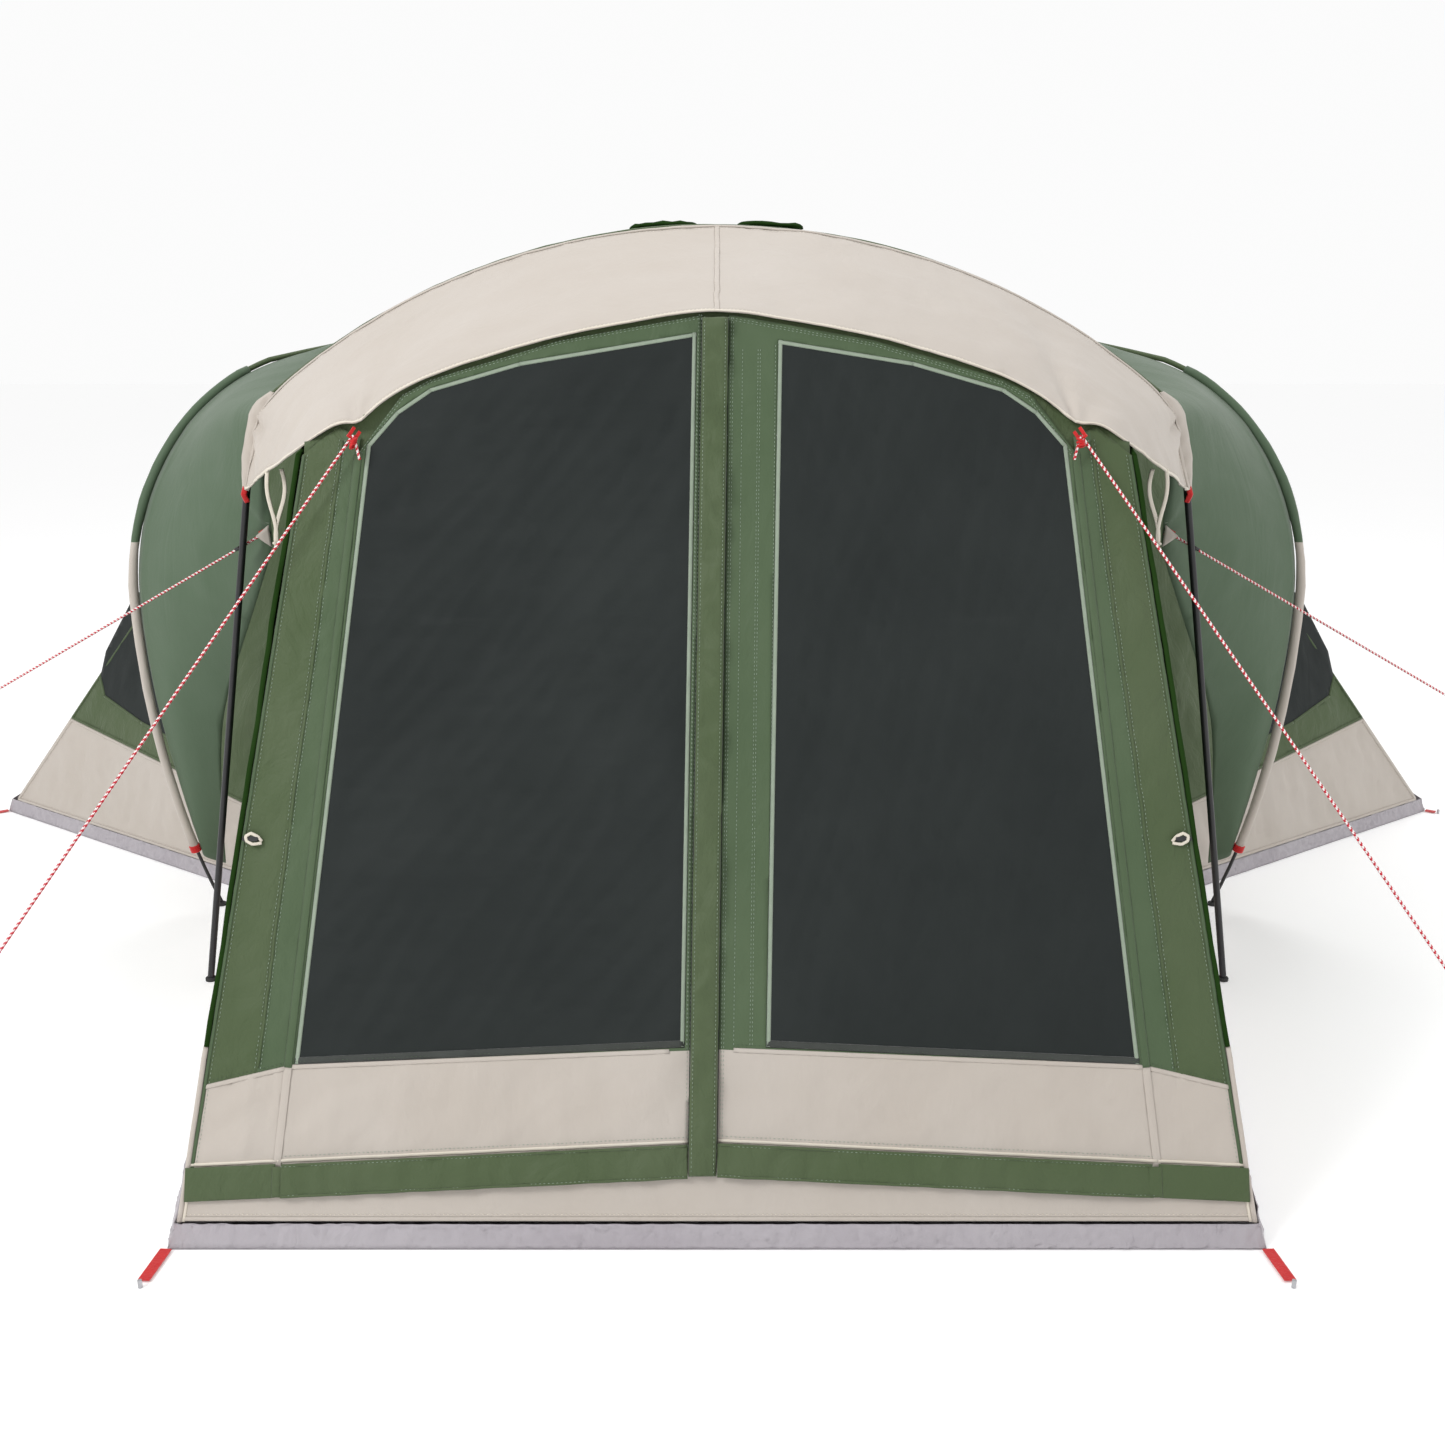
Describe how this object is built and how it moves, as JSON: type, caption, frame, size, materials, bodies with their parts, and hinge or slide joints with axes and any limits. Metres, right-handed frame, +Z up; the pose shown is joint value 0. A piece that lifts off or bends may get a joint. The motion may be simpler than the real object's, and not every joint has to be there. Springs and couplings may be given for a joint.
{
  "type": "family dome tent",
  "caption": "Family tent on crossing poles: front bay under a visor on a steel-legged arch, side hoods, a sleeping wing each side, zipped mesh doors and guy ropes.",
  "frame": {"origin": "on the ground, in the middle of the tent's box between its front and rear corner pegs", "axes": "+X to the right-hand wing as seen by someone facing the door, +Y from the door towards the rear, +Z up"},
  "size_m": [7.0786, 5.4949, 2.1307],
  "materials": {
    "black_steel": "satin black coating",
    "glass_fibre": "smooth black resin-bound glass fibre",
    "plated_steel": "zinc plated",
    "black_rubber": "matt",
    "beige_cloth": "coated woven polyester, matt",
    "green_cloth": "coated woven polyester, slight sheen",
    "dark_mesh": "fine insect netting",
    "ground_cloth": "laminated woven polyethylene",
    "zip_tape": "woven tape with nylon coil teeth",
    "zip_metal": "black lacquered zinc",
    "red_webbing": "flat woven polypropylene webbing",
    "guy_rope": "braided polypropylene cord with a white fleck",
    "black_plastic": "moulded"
  },
  "bodies": {
    "root": {"arch_elbows": "black_steel", "bathtub_edge": "ground_cloth", "bay_mudwalls": "beige_cloth", "bay_side_wall_left": "green_cloth", "bay_side_wall_right": "green_cloth", "corner_pegs": "plated_steel", "corner_storm_flaps": "green_cloth", "corner_webbing": "red_webbing", "crown_clip": "plated_steel", "dome_pole_left": "glass_fibre", "dome_pole_right": "glass_fibre", "door_toggles": "black_plastic", "front_arch_ferrule": "plated_steel", "front_arch_rod_left": "glass_fibre", "front_arch_rod_right": "glass_fibre", "front_guy_left": "guy_rope", "front_guy_right": "guy_rope", "front_side_strip_left": "green_cloth", "front_side_strip_right": "green_cloth", "front_sill": "beige_cloth", "groundsheet": "ground_cloth", "guy_pegs": "plated_steel", "guy_tabs": "red_webbing", "hem_zip": "zip_tape", "leg_feet": "black_rubber", "main_leg_left": "black_steel", "main_leg_right": "black_steel", "pole_feet": "black_rubber", "pole_sleeves": "beige_cloth", "rear_corner_panels": "green_cloth", "rear_mudwall": "beige_cloth", "rear_wall": "green_cloth", "rear_window_mesh": "dark_mesh", "roof": "green_cloth", "roof_vents": "dark_mesh", "shoulder_panels": "green_cloth", "side_guy_left": "guy_rope", "side_guy_right": "guy_rope", "side_hood_left": "green_cloth", "side_hood_right": "green_cloth", "visor": "beige_cloth", "wing_end_walls": "green_cloth", "wing_front_wall_left": "green_cloth", "wing_front_wall_right": "green_cloth", "wing_meshes": "dark_mesh", "wing_mudwalls": "beige_cloth", "wing_rear_walls": "green_cloth"},
    "door_left": {"door_leaf_left": "green_cloth", "door_mesh_left": "dark_mesh", "hem_storm_flap_left": "green_cloth"},
    "door_right": {"door_leaf_right": "green_cloth", "door_mesh_right": "dark_mesh", "hem_storm_flap_right": "green_cloth", "centre_zip": "zip_tape"},
    "centre_flap": {"centre_storm_flap": "green_cloth"},
    "centre_slider": {"centre_zip_slider": "zip_metal"},
    "hem_slider_left": {"hem_zip_slider_left": "zip_metal"},
    "hem_slider_right": {"hem_zip_slider_right": "zip_metal"},
    "runner_left": {"guy_runner_left": "black_plastic"},
    "runner_right": {"guy_runner_right": "black_plastic"}
  },
  "joints": [
    {"name": "door_left_hinge", "type": "hinge", "parent": "root", "child": "door_left", "pos_m": [-0.925, -2.617, 0], "axis": [-0.0862, -0.3465, -0.9341], "range_deg": [0, 55]},
    {"name": "door_right_hinge", "type": "hinge", "parent": "root", "child": "door_right", "pos_m": [0.925, -2.617, 0], "axis": [-0.0862, 0.3465, 0.9341], "range_deg": [0, 55]},
    {"name": "centre_flap_hinge", "type": "hinge", "parent": "door_right", "child": "centre_flap", "pos_m": [-0.0028, -2.6254, 0.0031], "axis": [0.0145, 0.3478, 0.9375], "range_deg": [0, 150]},
    {"name": "centre_zip_slide", "type": "slide", "parent": "door_right", "child": "centre_slider", "axis": [0.0145, 0.3478, 0.9375], "range_m": [0, 1.6]},
    {"name": "hem_zip_slide_left", "type": "slide", "parent": "root", "child": "hem_slider_left", "axis": [-0.999, -0.0159, -0.043], "range_m": [0, 0.84]},
    {"name": "hem_zip_slide_right", "type": "slide", "parent": "root", "child": "hem_slider_right", "axis": [0.999, -0.0159, -0.043], "range_m": [0, 0.84]},
    {"name": "runner_slide_left", "type": "slide", "parent": "root", "child": "runner_left", "axis": [-0.8697, 0.1011, -0.4832], "range_m": [0, 0.35]},
    {"name": "runner_slide_right", "type": "slide", "parent": "root", "child": "runner_right", "axis": [0.8697, 0.1011, -0.4832], "range_m": [0, 0.35]}
  ]
}
